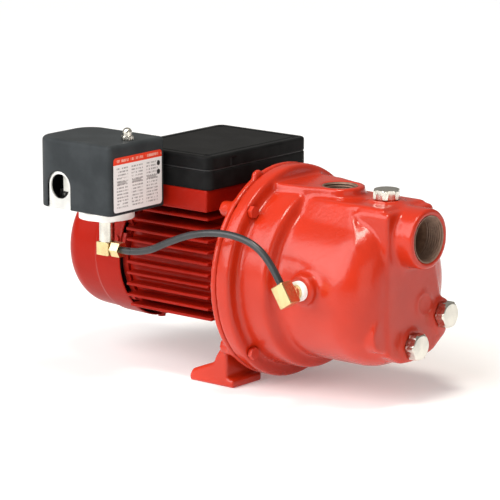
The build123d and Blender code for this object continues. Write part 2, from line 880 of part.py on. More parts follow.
# ---------------------------------------------------------------- end shield
# Cast aluminium plate behind the frame, with the rear bearing seat.
shield_thickness = 6.0
pocket_depth = bearing_width + 3
pocket_end_x = shield_x - pocket_depth
pad_angles = (15, 165, 270)
pad_length = 12.0
cover_inner = cover_rim_radius - cover_skin
cover_front_x = shield_x - cover_overlap
cover_screw = 2.0
screw_x = cover_front_x - 5

with BuildPart() as rear_end_shield:
    turned(
        (shield_x, frame_bore - slide_gap),
        (shield_x + 4, frame_bore - slide_gap),
        (shield_x + 4, frame_bore - spigot_wall + 1),
        (shield_x - 1, frame_bore - spigot_wall),
        (shield_x - 1, bearing_outer + seat_gap),
        (pocket_end_x, bearing_outer + seat_gap),
        (pocket_end_x, shaft_hole),
        (pocket_end_x - 4, shaft_hole),
        (pocket_end_x - 4, bearing_outer + hub_wall),
        (shield_x - shield_thickness, bearing_outer + hub_wall + 3),
        (shield_x - shield_thickness, frame_radius + 2),
        (shield_x, frame_radius + 2),
    )
    for rod_y, rise in rod_places:
        rod(across(shield_x - shield_thickness, rod_y, shaft_height + rise), rod_boss - 1.7, shield_thickness)
    with BuildSketch(across(shield_x - pad_length)):
        for angle in pad_angles:
            with PolarLocations(cover_inner - 9, 1, start_angle=angle):
                Rectangle(20, 14)
    extrude(amount=pad_length)
    rod(across(shield_x - 40), cover_inner - free_gap, 60, Mode.INTERSECT)
    for angle in pad_angles:
        rod(outward(screw_x, angle, cover_inner - 14), cover_screw + seat_gap, 20, Mode.SUBTRACT)
    for rod_y, rise in rod_places:
        rod(
            across(shield_x - shield_thickness - 8, rod_y, shaft_height + rise),
            rod_radius + free_gap,
            shield_thickness + 9,
            Mode.SUBTRACT,
        )
rear_end_shield.part.label = "rear_end_shield"
export_step(rear_end_shield.part, "parts/rear_end_shield.step")

# ---------------------------------------------------------------- spring washer
with BuildPart() as spring_washer:
    turned(
        (pocket_end_x, bearing_outer - 5.5),
        (pocket_end_x + 0.6, bearing_outer - 5.5),
        (rear_bearing_x - 0.05, bearing_outer - 0.3),
        (rear_bearing_x - 0.65, bearing_outer - 0.3),
    )
spring_washer.part.label = "spring_washer"
export_step(spring_washer.part, "parts/spring_washer.step")

# ---------------------------------------------------------------- tie rods
rod_nut = 7.0
with BuildPart() as tie_rods:
    rod_start = shield_x - shield_thickness
    for rod_y, rise in rod_places:
        rod_z = shaft_height + rise
        rod(across(rod_start - 3, rod_y, rod_z), rod_radius, frame_front_x + 13.5 - rod_start + 3)
        hex_bar(across(rod_start - 3, rod_y, rod_z), rod_nut, 3)
tie_rods.part.label = "tie_rods"
export_step(tie_rods.part, "parts/tie_rods.step")

# ---------------------------------------------------------------- cooling fan
fan_x0 = rear_bearing_x - 8 - fan_seat_length + 4
fan_hub_length = 18.0
fan_blades = 9
with BuildPart() as cooling_fan:
    rod(across(fan_x0), 11, fan_hub_length)
    rod(across(fan_x0 + fan_hub_length - 4), fan_radius - 4, 2)
    with BuildSketch(across(fan_x0)):
        with PolarLocations((fan_radius + 8) / 2, fan_blades):
            Rectangle(fan_radius - 8, 2)
    extrude(amount=fan_hub_length - 2)
    rod(across(fan_x0 - 1), fan_seat + seat_gap, fan_hub_length + 2, Mode.SUBTRACT)
cooling_fan.part.label = "cooling_fan"
export_step(cooling_fan.part, "parts/cooling_fan.step")

with BuildPart() as fan_clip:
    turned(
        (fan_x0 - 1.2, fan_seat + seat_gap),
        (fan_x0 - 1.2, fan_seat + 3),
        (fan_x0 - slide_gap, fan_seat + 3),
        (fan_x0 - slide_gap, fan_seat + seat_gap),
    )
    block(fan_x0 - 2, fan_x0, -1.2, 1.2, shaft_height, shaft_height + 12, Mode.SUBTRACT)
fan_clip.part.label = "fan_clip"
export_step(fan_clip.part, "parts/fan_clip.step")

# ---------------------------------------------------------------- fan cover
# Pressed steel: a straight skirt, a small step, then a rounded cap with an air
# grille on its flat end.
cover_rear_x = cover_front_x - cover_length
cover_step_x = cover_front_x - 30
cap_flat = 38.0
cap_round = 21.0


def cover_outline(inset):
    """The cover's outer side, or its inner side when moved in by the skin."""
    with BuildLine() as line:
        Line(
            (cover_front_x, cover_rim_radius - inset),
            (cover_step_x, cover_rim_radius - 0.8 - inset),
        )
        Line(
            (cover_step_x, cover_rim_radius - 0.8 - inset),
            (cover_step_x - 1, cover_rim_radius - 2 - inset),
        )
        FilletPolyline(
            (cover_step_x - 1, cover_rim_radius - 2 - inset),
            (cover_rear_x + inset + 1, cover_rim_radius - 4 - inset),
            (cover_rear_x + inset, cap_flat - inset),
            (cover_rear_x + inset, 0),
            radius=[cap_round - inset, 8],
        )
        Line((cover_rear_x + inset, 0), (cover_front_x, 0))
        Line((cover_front_x, 0), (cover_front_x, cover_rim_radius - inset))
    return line.line


with BuildPart() as fan_cover:
    with BuildSketch(section):
        with BuildLine():
            add(cover_outline(0))
        make_face()
    revolve(axis=shaft_axis)
    with BuildSketch(section):
        with BuildLine():
            add(cover_outline(cover_skin))
        make_face()
    revolve(axis=shaft_axis, mode=Mode.SUBTRACT)
    # air grille: rings of slots in the flat end
    with BuildSketch(across(cover_rear_x - 1)):
        for slot_middle, slots in ((14, 8), (22, 12), (30, 16)):
            with PolarLocations(slot_middle, slots):
                SlotOverall(5.6, 2.6)
    extrude(amount=cover_skin + 3, mode=Mode.SUBTRACT)
    for angle in pad_angles:
        rod(outward(screw_x, angle, cover_inner - 5), cover_screw + 0.2, 20, Mode.SUBTRACT)
fan_cover.part.label = "fan_cover"
export_step(fan_cover.part, "parts/fan_cover.step")

with BuildPart() as fan_cover_screws:
    for angle in pad_angles:
        rod(outward(screw_x, angle, cover_inner - 10), cover_screw, 12)
        rod(outward(screw_x, angle, cover_rim_radius + 0.1), 3.6, 2)
fan_cover_screws.part.label = "fan_cover_screws"
export_step(fan_cover_screws.part, "parts/fan_cover_screws.step")

# ================================================================ terminal box
box_length = box_front_x - box_rear_x
box_x = (box_rear_x + box_front_x) / 2
box_corner = 8.0
gasket = 1.0
base_top_z = box_floor_z + box_base_height
lid_z = base_top_z + gasket
gate_half = 16.0
lid_skin = 2.5
post_inset = 9.0
post_radius = 5.0
lid_screw = 1.8


def box_slab(z, height, inset, mode=Mode.ADD):
    """A slab with the box's outline, moved in by an inset."""
    with BuildSketch(level(z, box_x)) as outline:
        RectangleRounded(box_length - 2 * inset, 2 * box_half_width - 2 * inset, max(box_corner - inset, 1))
    extrude(outline.sketch, amount=height, mode=mode)


def posts(z):
    """Planes at one height, one at each of the box's four corner posts."""
    half_x, half_y = box_length / 2 - post_inset, box_half_width - post_inset
    return [level(z, box_x + end * half_x, side * half_y) for end in (-1, 1) for side in (-1, 1)]


with BuildPart() as terminal_box_base:
    box_slab(box_floor_z, box_base_height, 0)
    box_slab(box_floor_z + box_wall, box_base_height, box_wall, Mode.SUBTRACT)
    for post in posts(box_floor_z):
        rod(post, post_radius, box_base_height)
        rod(post, lid_screw + seat_gap, box_base_height + 1, Mode.SUBTRACT)
    # raised gate in the wall, for the conduit to the switch
    block(
        conduit_x - gate_half,
        conduit_x + gate_half,
        -box_half_width,
        -box_half_width + box_wall,
        box_floor_z + 1,
        box_top_z - lid_skin - 0.2,
    )
    rod(beside(-box_half_width + 10, conduit_x, conduit_z), conduit_radius + 0.1, 20, Mode.SUBTRACT)
    block(-8, 4, -12, 12, box_floor_z - 1, box_floor_z + 5, Mode.SUBTRACT)
terminal_box_base.part.label = "terminal_box_base"
export_step(terminal_box_base.part, "parts/terminal_box_base.step")

with BuildPart() as box_gasket:
    box_slab(base_top_z, gasket, 0.8)
    box_slab(base_top_z - 1, gasket + 2, box_wall, Mode.SUBTRACT)
    block(
        conduit_x - gate_half - 0.2,
        conduit_x + gate_half + 0.2,
        -box_half_width - 1,
        -box_half_width + box_wall + 0.2,
        base_top_z - 1,
        lid_z + 1,
        Mode.SUBTRACT,
    )
box_gasket.part.label = "box_gasket"
export_step(box_gasket.part, "parts/box_gasket.step")

with BuildPart() as terminal_box_lid:
    box_slab(lid_z, box_top_z - lid_z, 0)
    fillet(terminal_box_lid.faces().sort_by(Axis.Z)[-1].edges(), radius=2.2)
    box_slab(lid_z - 1, box_top_z - lid_z - lid_skin + 1, box_wall, Mode.SUBTRACT)
    for post in posts(lid_z):
        rod(post, post_radius, box_top_z - lid_z - 1)
        rod(post, lid_screw + 0.3, 30, Mode.SUBTRACT)
    for post in posts(box_top_z - 3):
        rod(post, 3.6, 6, Mode.SUBTRACT)
    block(
        conduit_x - gate_half - 0.2,
        conduit_x + gate_half + 0.2,
        -box_half_width - 1,
        -box_half_width + box_wall + 0.2,
        lid_z - 1,
        box_top_z - lid_skin,
        Mode.SUBTRACT,
    )
terminal_box_lid.part.label = "terminal_box_lid"
export_step(terminal_box_lid.part, "parts/terminal_box_lid.step")

with BuildPart() as lid_screws:
    for post in posts(box_floor_z + 3):
        rod(post, lid_screw, box_top_z - 3 - box_floor_z - 3)
    for post in posts(box_top_z - 3):
        rod(post, 3.4, 2.2)
    for post in posts(box_top_z - 1.6):
        with Locations(post):
            Box(5, 0.8, 2, align=ON_END, mode=Mode.SUBTRACT)
            Box(0.8, 5, 2, align=ON_END, mode=Mode.SUBTRACT)
lid_screws.part.label = "lid_screws"
export_step(lid_screws.part, "parts/lid_screws.step")

# ---------------------------------------------------------------- inside the box
capacitor_radius = 12.0
inside_z = box_floor_z + box_wall
with BuildPart() as capacitor:
    rod(across(box_rear_x + 16, 38, inside_z + capacitor_radius), capacitor_radius, 60)
    for lead_y in (35, 41):
        block(
            box_rear_x + 75,
            box_rear_x + 82,
            lead_y - 0.4,
            lead_y + 0.4,
            inside_z + capacitor_radius - 3,
            inside_z + capacitor_radius + 3,
        )
capacitor.part.label = "capacitor"
export_step(capacitor.part, "parts/capacitor.step")

with BuildPart() as terminal_block:
    block(-34, -14, -40, 6, inside_z, inside_z + 10)
    for bay in range(5):
        bay_y = -38.5 + bay * 9
        block(-35, -27, bay_y, bay_y + 7, inside_z + 5, inside_z + 11, Mode.SUBTRACT)
        block(-21, -13, bay_y, bay_y + 7, inside_z + 5, inside_z + 11, Mode.SUBTRACT)
terminal_block.part.label = "terminal_block"
export_step(terminal_block.part, "parts/terminal_block.step")

# ================================================================ pressure switch
# It hangs on the conduit nipple, beside the terminal box.
bracket_sheet = 1.6
bracket_inset = 2.0
knockout_x, knockout_z = switch_rear_x + 30.5, 181.7
notch_half = 13.5
cover_round = 20.0        # wide corners at the cover's back
cover_corner = 4.0        # small corners at its front
stud_x = switch_front_x - 12
stud_radius = 3.0
lever_z = switch_floor_z + 9
pivot_x = switch_rear_x + 18.5
pivot_radius = 1.6


def cover_plan(z, inset):
    """The switch's outline seen from above, moved in by an inset."""
    with BuildSketch(level(z, (switch_rear_x + switch_front_x) / 2, switch_y)) as plan:
        Rectangle(switch_front_x - switch_rear_x - 2 * inset, switch_width - 2 * inset)
        fillet(plan.vertices().group_by(Axis.X)[0], radius=cover_round - inset)
        fillet(plan.vertices().group_by(Axis.X)[-1], radius=cover_corner - inset)
    return plan.sketch


with BuildPart() as switch_bracket:
    floor_y0, floor_y1 = switch_y0 + bracket_inset, switch_y1 - bracket_inset
    extrude(cover_plan(switch_floor_z, bracket_inset), amount=bracket_sheet)
    block(
        knockout_x - notch_half + 0.5,
        knockout_x + 17,
        floor_y0,
        floor_y0 + bracket_sheet,
        switch_floor_z,
        knockout_z + 17,
    )
    block(
        conduit_x - 17,
        conduit_x + 17,
        floor_y1 - bracket_sheet,
        floor_y1,
        switch_floor_z,
        conduit_z + 14,
    )
    # ears for the lever pin
    for ear_y in (switch_y - 17, switch_y + 17):
        block(
            pivot_x - 4,
            pivot_x + 4,
            ear_y - 1,
            ear_y + 1,
            switch_floor_z,
            lever_z + 5,
        )
    rod(beside(switch_y + 20, pivot_x, lever_z), pivot_radius + seat_gap, 40, Mode.SUBTRACT)
    rod(beside(floor_y0 + 5, knockout_x, knockout_z), knockout_radius, 10, Mode.SUBTRACT)
    rod(beside(floor_y1 + 5, conduit_x, conduit_z), conduit_radius + 0.1, 10, Mode.SUBTRACT)
    rod(level(switch_floor_z - 1, switch_x, switch_y), 6, 5, Mode.SUBTRACT)
    rod(level(switch_floor_z - 1, stud_x, switch_y), stud_radius + seat_gap, 5, Mode.SUBTRACT)
switch_bracket.part.label = "switch_bracket"
export_step(switch_bracket.part, "parts/switch_bracket.step")

with BuildPart() as switch_cover:
    extrude(cover_plan(switch_floor_z, 0), amount=switch_height)
    fillet(switch_cover.faces().sort_by(Axis.Z)[-1].edges(), radius=3.5)
    extrude(cover_plan(switch_floor_z, switch_skin), amount=switch_height - switch_skin, mode=Mode.SUBTRACT)
    # round-topped notch at each conduit hole
    for notch_x, notch_z, half, wall_y in (
        (knockout_x, knockout_z, notch_half, switch_y0),
        (conduit_x, conduit_z, gate_half - 2, switch_y1),
    ):
        block(
            notch_x - half,
            notch_x + half,
            wall_y - 3,
            wall_y + 3,
            switch_floor_z - 1,
            notch_z,
            Mode.SUBTRACT,
        )
        rod(beside(wall_y + 3, notch_x, notch_z), half, 6, Mode.SUBTRACT)
    rod(level(switch_top_z - 5, stud_x, switch_y), stud_radius + 0.3, 10, Mode.SUBTRACT)
switch_cover.part.label = "switch_cover"
export_step(switch_cover.part, "parts/switch_cover.step")

with BuildPart() as cover_label:
    label_z0, label_z1 = switch_floor_z + 3, switch_top_z - 11
    with BuildSketch(across(switch_front_x, switch_y, (label_z0 + label_z1) / 2)):
        RectangleRounded(switch_width - 10, label_z1 - label_z0, 3)
    extrude(amount=0.25)
cover_label.part.label = "cover_label"
export_step(cover_label.part, "parts/cover_label.step")

# ---------------------------------------------------------------- stud and spring
stud_end_z = switch_top_z + 6
nut_z = switch_floor_z + 40
with BuildPart() as spring_stud:
    rod(level(switch_floor_z - 1.5, stud_x, switch_y), 5, 1.5)
    rod(level(switch_floor_z, stud_x, switch_y), stud_radius, stud_end_z - switch_floor_z)
spring_stud.part.label = "spring_stud"
export_step(spring_stud.part, "parts/spring_stud.step")

with BuildPart() as range_nut:
    hex_bar(level(nut_z, stud_x, switch_y), 13, 5)
    rod(level(nut_z - 1, stud_x, switch_y), stud_radius + seat_gap, 8, Mode.SUBTRACT)
range_nut.part.label = "range_nut"
export_step(range_nut.part, "parts/range_nut.step")

acorn_hex = 9.6
acorn_body = 4.4
acorn_neck = 2.6
acorn_dome = 4.3
with BuildPart() as cover_nut:
    nut_base_z = switch_top_z + 0.05
    hex_bar(level(nut_base_z, stud_x, switch_y), acorn_hex, acorn_body)
    rod(level(nut_base_z, stud_x, switch_y), acorn_dome, acorn_body + acorn_neck)
    with Locations(level(nut_base_z + acorn_body + acorn_neck, stud_x, switch_y)):
        Sphere(acorn_dome)
    rod(
        level(nut_base_z - 1, stud_x, switch_y),
        stud_radius + seat_gap,
        stud_end_z - nut_base_z + 1.1,
        Mode.SUBTRACT,
    )
cover_nut.part.label = "cover_nut"
export_step(cover_nut.part, "parts/cover_nut.step")

lever_sheet = 1.5
lever_top_z = lever_z + lever_sheet / 2
spring_wire = 1.0
with BuildPart() as range_spring:
    with BuildLine() as range_coil:
        Helix(
            pitch=4,
            height=nut_z - lever_top_z - 2 * spring_wire - 0.2,
            radius=5.4,
            center=(stud_x, switch_y, lever_top_z + spring_wire + 0.1),
        )
    with BuildSketch(Plane(origin=range_coil.line @ 0, z_dir=range_coil.line % 0)):
        Circle(spring_wire)
    sweep(path=range_coil.line, is_frenet=True)
range_spring.part.label = "range_spring"
export_step(range_spring.part, "parts/range_spring.step")

# ---------------------------------------------------------------- lever and pin
with BuildPart() as switch_lever:
    block(
        pivot_x,
        stud_x + 9,
        switch_y - 12,
        switch_y + 12,
        lever_z - lever_sheet / 2,
        lever_top_z,
    )
    rod(beside(switch_y + 12, pivot_x, lever_z), pivot_radius + 1.5, 24)
    rod(beside(switch_y + 12.5, pivot_x, lever_z), pivot_radius + slide_gap, 25, Mode.SUBTRACT)
    rod(level(lever_z - 3, stud_x, switch_y), stud_radius + 1, 6, Mode.SUBTRACT)
switch_lever.part.label = "switch_lever"
export_step(switch_lever.part, "parts/switch_lever.step")

with BuildPart() as lever_pin:
    rod(beside(switch_y + 19, pivot_x, lever_z), pivot_radius, 38)
lever_pin.part.label = "lever_pin"
export_step(lever_pin.part, "parts/lever_pin.step")

with BuildPart() as contact_block:
    block(
        pivot_x + 6,
        stud_x - 9,
        switch_y - 24,
        switch_y + 20,
        lever_top_z + 4,
        lever_top_z + 22,
    )
    for terminal in range(4):
        terminal_y = switch_y - 21 + terminal * 10
        block(
            pivot_x + 5,
            pivot_x + 15,
            terminal_y,
            terminal_y + 8,
            lever_top_z + 12,
            lever_top_z + 23,
            Mode.SUBTRACT,
        )
    # legs down to the bracket's floor, outside the lever
    for leg_y0, leg_y1 in ((switch_y - 24, switch_y - 19.5), (switch_y + 15, switch_y + 20)):
        block(pivot_x + 20, stud_x - 12, leg_y0, leg_y1, switch_floor_z + bracket_sheet, lever_top_z + 5)
contact_block.part.label = "contact_block"
export_step(contact_block.part, "parts/contact_block.step")

# ---------------------------------------------------------------- diaphragm
housing_radius = 25.0
clamp_thickness = 2.4
diaphragm_thickness = 0.8
clamp_z = switch_floor_z - clamp_thickness
diaphragm_z = clamp_z - diaphragm_thickness
housing_z = diaphragm_z - 6
port_socket_z = housing_z - 4
plunger_radius = 5.0
plunger_travel = 1.0
with BuildPart() as diaphragm_clamp:
    rod(level(clamp_z, switch_x, switch_y), housing_radius, clamp_thickness)
    rod(level(clamp_z - 1, switch_x, switch_y), 14, clamp_thickness + 2, Mode.SUBTRACT)
    rod(level(clamp_z - 1, stud_x, switch_y), 5.5, clamp_thickness + 2, Mode.SUBTRACT)
diaphragm_clamp.part.label = "diaphragm_clamp"
export_step(diaphragm_clamp.part, "parts/diaphragm_clamp.step")

with BuildPart() as diaphragm:
    rod(level(diaphragm_z, switch_x, switch_y), housing_radius - 1, diaphragm_thickness)
diaphragm.part.label = "diaphragm"
export_step(diaphragm.part, "parts/diaphragm.step")

with BuildPart() as diaphragm_housing:
    rod(level(housing_z, switch_x, switch_y), housing_radius, 6)
    rod(level(diaphragm_z - 2.5, switch_x, switch_y), housing_radius - 6, 4, Mode.SUBTRACT)
    rod(level(port_socket_z, switch_x, switch_y), nipple_radius + 2.5, 4)
    rod(level(port_socket_z - 1, switch_x, switch_y), nipple_radius + seat_gap, 6, Mode.SUBTRACT)
    rod(level(port_socket_z, switch_x, switch_y), 3, 12, Mode.SUBTRACT)
diaphragm_housing.part.label = "diaphragm_housing"
export_step(diaphragm_housing.part, "parts/diaphragm_housing.step")

with BuildPart() as plunger:
    rod(
        level(clamp_z + plunger_travel + 0.2, switch_x, switch_y),
        plunger_radius,
        lever_z - lever_sheet / 2 - 0.2 - clamp_z - plunger_travel - 0.2,
    )
plunger.part.label = "plunger"
export_step(plunger.part, "parts/plunger.step")

# ---------------------------------------------------------------- conduit
nipple_end_y0 = floor_y1 - bracket_sheet - 5
nipple_end_y1 = -box_half_width + box_wall + 5
locknut = 20.0
with BuildPart() as conduit_nipple:
    rod(beside(nipple_end_y1, conduit_x, conduit_z), conduit_radius, nipple_end_y1 - nipple_end_y0)
    rod(beside(nipple_end_y1 + 1, conduit_x, conduit_z), conduit_radius - 2, 40, Mode.SUBTRACT)
    # collar that keeps the two walls apart
    rod(
        beside(-box_half_width - 0.1, conduit_x, conduit_z),
        conduit_radius + 2,
        switch_gap + bracket_inset - 0.2,
    )
    rod(beside(-box_half_width + 5, conduit_x, conduit_z), conduit_radius - 2, 40, Mode.SUBTRACT)
conduit_nipple.part.label = "conduit_nipple"
export_step(conduit_nipple.part, "parts/conduit_nipple.step")

with BuildPart() as conduit_locknuts:
    hex_bar(beside(nipple_end_y1 - 1, conduit_x, conduit_z), locknut, 3.9)
    hex_bar(beside(floor_y1 - bracket_sheet - 0.1, conduit_x, conduit_z), locknut, 3.9)
    rod(beside(nipple_end_y1 + 3, conduit_x, conduit_z), conduit_radius + seat_gap, 40, Mode.SUBTRACT)
conduit_locknuts.part.label = "conduit_locknuts"
export_step(conduit_locknuts.part, "parts/conduit_locknuts.step")

# ---------------------------------------------------------------- pressure line
elbow_block = 14.4
elbow_height = 12.0
elbow_top_z = port_socket_z - nipple_length + 2
tube_z = elbow_top_z - elbow_height / 2
tube_radius = tube_diameter / 2
compression_x = -59.5
compression_length = 9.5
tube_start_x = compression_x + compression_length
elbow_lean = 33.0         # the casing elbow's upper leg leans back by this angle
casing_elbow_block = 14.0
casing_elbow_length = 20.4
casing_elbow_y = -99.0

with BuildPart() as pressure_nipple:
    rod(level(elbow_top_z - 4, switch_x, switch_y), nipple_radius, port_socket_z + 4.5 - elbow_top_z + 4)
    rod(level(elbow_top_z - 5, switch_x, switch_y), 3, 50, Mode.SUBTRACT)
pressure_nipple.part.label = "pressure_nipple"
export_step(pressure_nipple.part, "parts/pressure_nipple.step")

with BuildPart() as switch_elbow:
    block(
        switch_x - elbow_block / 2,
        switch_x + elbow_block / 2,
        switch_y - elbow_block / 2,
        switch_y + elbow_block / 2,
        elbow_top_z - elbow_height,
        elbow_top_z,
    )
    fillet(switch_elbow.edges().filter_by(Axis.Z), radius=1.5)
    rod(across(switch_x, switch_y, tube_z), 4.2, compression_x + 5 - switch_x)
    rod(level(elbow_top_z - 4 - seat_gap, switch_x, switch_y), nipple_radius + seat_gap, 10, Mode.SUBTRACT)
    rod(level(tube_z, switch_x, switch_y), 2, 10, Mode.SUBTRACT)
    rod(across(switch_x - 2, switch_y, tube_z), 2, 30, Mode.SUBTRACT)
switch_elbow.part.label = "switch_elbow"
export_step(switch_elbow.part, "parts/switch_elbow.step")

with BuildPart() as compression_nut:
    hex_bar(across(compression_x, switch_y, tube_z), 12.7, compression_length)
    rod(across(compression_x - 1, switch_y, tube_z), 4.2 + seat_gap, 6 + seat_gap, Mode.SUBTRACT)
    rod(across(compression_x, switch_y, tube_z), 2, 20, Mode.SUBTRACT)
compression_nut.part.label = "compression_nut"
export_step(compression_nut.part, "parts/compression_nut.step")

lean_x, lean_z = sin(radians(elbow_lean)), cos(radians(elbow_lean))
elbow_leg = Plane(origin=(port_x, casing_elbow_y, port_z), x_dir=(0, 1, 0), z_dir=(-lean_x, 0, lean_z))
with BuildPart() as casing_elbow:
    with Locations(elbow_leg):
        Box(casing_elbow_block, casing_elbow_block, casing_elbow_length)
    fillet(casing_elbow.edges(), radius=0.8)
    rod(beside(port_face_y + 10, port_x, port_z), port_thread - seat_gap, port_face_y + 10 - casing_elbow_y)
    rod(beside(port_face_y + 11, port_x, port_z), 2.5, 30, Mode.SUBTRACT)
    rod(elbow_leg, 2, 20, Mode.SUBTRACT)
casing_elbow.part.label = "casing_elbow"
export_step(casing_elbow.part, "parts/casing_elbow.step")

with BuildPart() as elbow_ring:
    rod(beside(port_face_y - 0.1, port_x, port_z), 9, 5)
    rod(beside(port_face_y + 1, port_x, port_z), port_thread + seat_gap, 10, Mode.SUBTRACT)
elbow_ring.part.label = "elbow_ring"
export_step(elbow_ring.part, "parts/elbow_ring.step")

# ---------------------------------------------------------------- sensing tube
# Black tube held at both ends: it leaves the switch level, climbs over the
# flange's side and drops into the leaning leg of the casing elbow.
tube_end = (
    port_x - lean_x * casing_elbow_length / 2,
    casing_elbow_y,
    port_z + lean_z * casing_elbow_length / 2,
)
last_run = 21.5
route = [
    (tube_start_x, switch_y, tube_z),
    (tube_start_x + 24, switch_y, tube_z),
    (6.0, -108.0, 139.5),
    (34.0, -106.0, 149.8),
    (66.0, -103.8, 153.5),
    (93.0, -101.5, 148.5),
    (tube_end[0] - lean_x * last_run, casing_elbow_y, tube_end[2] + lean_z * last_run),
    tube_end,
]
runs = [Vector(*b) - Vector(*a) for a, b in zip(route, route[1:])]
bends = []
for before, after in zip(runs, runs[1:]):
    half_turn = radians(before.get_angle(after)) / 2
    bends.append(0.45 * min(before.length, after.length) / tan(half_turn))
with BuildPart() as sensing_tube:
    with BuildLine() as tube_path:
        FilletPolyline(*route, radius=bends)
    with BuildSketch(Plane(origin=tube_path.line @ 0, z_dir=tube_path.line % 0)):
        Circle(tube_radius)
    sweep(path=tube_path.line)
sensing_tube.part.label = "sensing_tube"
export_step(sensing_tube.part, "parts/sensing_tube.step")
print("tube bends", [round(bend, 1) for bend in bends])
tube_length = tube_path.wires()[0].length
print("tube length", round(tube_length, 1))
swept = sensing_tube.part.volume / (pi * tube_radius**2 * tube_length)
print("tube volume over section times length", round(swept, 4))

# ================================================================ plugs
with BuildPart() as priming_plug:
    plug_seat_z = spine_height + 2
    hex_bar(level(plug_seat_z + 0.4, priming_x), plug_hex, plug_head)
    rod(level(plug_seat_z - 14, priming_x), plug_thread - seat_gap, 15)
priming_plug.part.label = "priming_plug"
export_step(priming_plug.part, "parts/priming_plug.step")

plug_face_x = nose_face_x + 2
with BuildPart() as nose_plugs:
    for plug_y, plug_z in ((drain_y, drain_z), (gauge_y, gauge_z)):
        hex_bar(across(plug_face_x + 0.4, plug_y, plug_z), plug_hex, plug_head)
        rod(across(plug_face_x - 12, plug_y, plug_z), plug_thread - seat_gap, 13)
nose_plugs.part.label = "nose_plugs"
export_step(nose_plugs.part, "parts/nose_plugs.step")
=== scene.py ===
import json
import math

import bmesh
import bpy
import numpy as np
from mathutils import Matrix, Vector


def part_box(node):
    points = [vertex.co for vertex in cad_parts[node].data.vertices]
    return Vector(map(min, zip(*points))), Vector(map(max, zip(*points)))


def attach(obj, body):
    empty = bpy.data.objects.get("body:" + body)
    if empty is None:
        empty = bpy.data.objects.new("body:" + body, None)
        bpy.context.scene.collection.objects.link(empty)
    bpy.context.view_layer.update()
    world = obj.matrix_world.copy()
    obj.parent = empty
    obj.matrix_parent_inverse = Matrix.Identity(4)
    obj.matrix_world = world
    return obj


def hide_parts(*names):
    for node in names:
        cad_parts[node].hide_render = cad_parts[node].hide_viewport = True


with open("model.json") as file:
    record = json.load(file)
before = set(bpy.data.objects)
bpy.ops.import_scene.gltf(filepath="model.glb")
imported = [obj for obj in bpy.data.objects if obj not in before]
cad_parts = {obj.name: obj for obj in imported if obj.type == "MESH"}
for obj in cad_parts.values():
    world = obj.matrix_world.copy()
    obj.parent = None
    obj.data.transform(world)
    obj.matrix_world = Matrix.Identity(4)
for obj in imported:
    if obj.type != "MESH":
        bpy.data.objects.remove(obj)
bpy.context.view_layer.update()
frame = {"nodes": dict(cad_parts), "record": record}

scene = bpy.context.scene
scene.view_settings.view_transform = "Standard"


# ================================================================ camera
# A long lens from the front right, a little above, looking at the middle of the pump.
bearing, rise = math.radians(39.6), math.radians(12.3)
distance = 2.73
target = Vector((0.0062, 0.0, 0.1129))
back = Vector((
    math.sin(bearing) * math.cos(rise),
    -math.cos(bearing) * math.cos(rise),
    math.sin(rise),
))
camera = bpy.data.objects.new("camera", bpy.data.cameras.new("camera"))
camera.data.lens = 216.0
camera.data.sensor_width = 36.0
camera.data.clip_end = 40.0
camera.location = target + distance * back
camera.rotation_euler = back.to_track_quat("Z", "Y").to_euler()
scene.collection.objects.link(camera)
scene.camera = camera


# ================================================================ sensing tube
# Black nylon pressure tube, 6.5 mm across. It is pushed into the switch's compression
# nut at one end and into the leaning leg of the casing's elbow at the other.
class Wire:
    """A socket of a shader, so that shader maths reads as plain sums."""

    def __init__(self, tree, socket=None):
        self.tree, self.socket = tree, socket

    def node(self, kind, sockets=(), output=0, stops=(), **settings):
        """Any node: its type, its settings, then the values or links of its sockets."""
        made = self.tree.nodes.new("ShaderNode" + kind)
        for name, value in settings.items():
            setattr(made, name, value)
        for index, (place, colour) in enumerate(stops):
            if index > 1:
                made.color_ramp.elements.new(place)
            made.color_ramp.elements[index].position = place
            made.color_ramp.elements[index].color = (*colour, 1.0)
        for name, value in dict(sockets).items():
            if isinstance(value, Wire):
                self.tree.links.new(value.socket, made.inputs[name])
            else:
                made.inputs[name].default_value = value
        return Wire(self.tree, made.outputs[output])

    def maths(self, operation, *inputs):
        return self.node("Math", dict(enumerate(inputs)), operation=operation)

    def vector(self, operation, *others, output=0):
        """Vector maths between this and the others; output 1 where the answer is one number."""
        inputs = dict(enumerate((self, *others)))
        return self.node("VectorMath", inputs, output, operation=operation)

    def part(self, axis):
        """The x, y or z of a place, for axis 0, 1 or 2."""
        return self.node("SeparateXYZ", {0: self}, axis)

    def fraction(self):
        """What is left above the whole number, for patterns that repeat."""
        return self.maths("FRACT", self)

    def __add__(self, other):
        return self.maths("ADD", self, other)

    __radd__ = __add__

    def __sub__(self, other):
        return self.maths("SUBTRACT", self, other)

    def __rsub__(self, other):
        return self.maths("SUBTRACT", other, self)

    def __mul__(self, other):
        return self.maths("MULTIPLY", self, other)

    __rmul__ = __mul__

    def __gt__(self, other):
        return self.maths("GREATER_THAN", self, other)

    def __lt__(self, other):
        return self.maths("LESS_THAN", self, other)

    def spread(self, low, high):
        """0 below low, 1 above high, and smooth between."""
        limits = {0: self, 1: low, 2: high, 3: 0.0, 4: 1.0}
        return self.node("MapRange", limits, interpolation_type="SMOOTHSTEP")

    def tint(self, first, second):
        """A colour that goes from the first to the second as this value goes from 0 to 1."""
        pair = [c if isinstance(c, Wire) else (*c, 1.0) for c in (first, second)]
        return self.node("Mix", {0: self, 6: pair[0], 7: pair[1]}, output=2, data_type="RGBA")


def finish(name, **fixed):
    """A new material: its maths, its shader, and a Wire at the object's own coordinates."""
    material = bpy.data.materials.new(name)
    material.use_nodes = True
    tree = material.node_tree
    shader = tree.nodes["Principled BSDF"]
    for socket, value in fixed.items():
        shader.inputs[socket.replace("_", " ")].default_value = value
    here = Wire(tree).node("TexCoord", output=3)
    return material, shader, here


